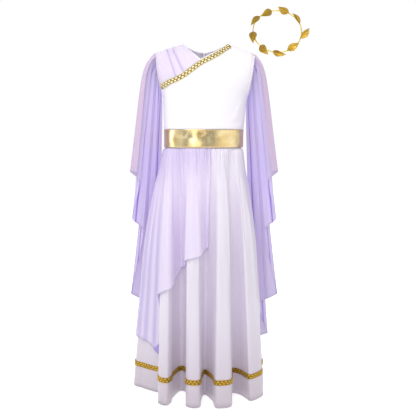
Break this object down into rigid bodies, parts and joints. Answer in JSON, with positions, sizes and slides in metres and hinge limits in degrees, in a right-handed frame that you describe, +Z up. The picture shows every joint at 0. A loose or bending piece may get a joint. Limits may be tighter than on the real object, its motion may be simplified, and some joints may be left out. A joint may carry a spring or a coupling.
{
  "type": "roman princess costume",
  "caption": "Child's long draped dress with satin bodice, gathered skirt, chiffon overskirt and cape sleeves, gold belt and braid, and a matching leaf circlet.",
  "frame": {"origin": "midway between the shoulders at the level where the wearer's shoulders hold the dress up", "axes": "+X to the wearer's left, +Y to the back, +Z up"},
  "size_m": [0.5318, 0.3987, 1.1268],
  "materials": {
    "white_satin": "soft white polyester satin",
    "lavender_chiffon": "sheer lavender polyester chiffon",
    "gold_foil_cloth": "gold foil knit cloth, bright",
    "gold_braid": "woven metallic gold braid",
    "zip_enamel": "white enamel",
    "gold_wire": "bright gold wire",
    "gold_leaf": "gold coated leaf"
  },
  "bodies": {
    "dress": {"bodice_front": "white_satin", "bodice_back_left": "white_satin", "bodice_back_right": "white_satin", "shoulder_drape": "lavender_chiffon", "neck_trim": "gold_braid", "belt": "gold_foil_cloth", "skirt_front": "white_satin", "skirt_back_left": "white_satin", "skirt_back_right": "white_satin", "overskirt": "lavender_chiffon", "hem_trim": "gold_braid", "sleeve_left": "lavender_chiffon", "sleeve_right": "lavender_chiffon", "zip_slider": "zip_enamel", "wreath_wire": "gold_wire", "leaf_1": "gold_leaf", "leaf_2": "gold_leaf", "leaf_3": "gold_leaf", "leaf_4": "gold_leaf", "leaf_5": "gold_leaf", "leaf_6": "gold_leaf", "leaf_7": "gold_leaf", "leaf_8": "gold_leaf", "leaf_9": "gold_leaf"},
    "zip_pull": {"zip_pull": "zip_enamel"}
  },
  "joints": [
    {"name": "zip_pull_swing", "type": "hinge", "parent": "dress", "child": "zip_pull", "pos_m": [0, 0.06374, -0.01581], "axis": [1, 0, 0], "range_deg": [0, 160]}
  ]
}
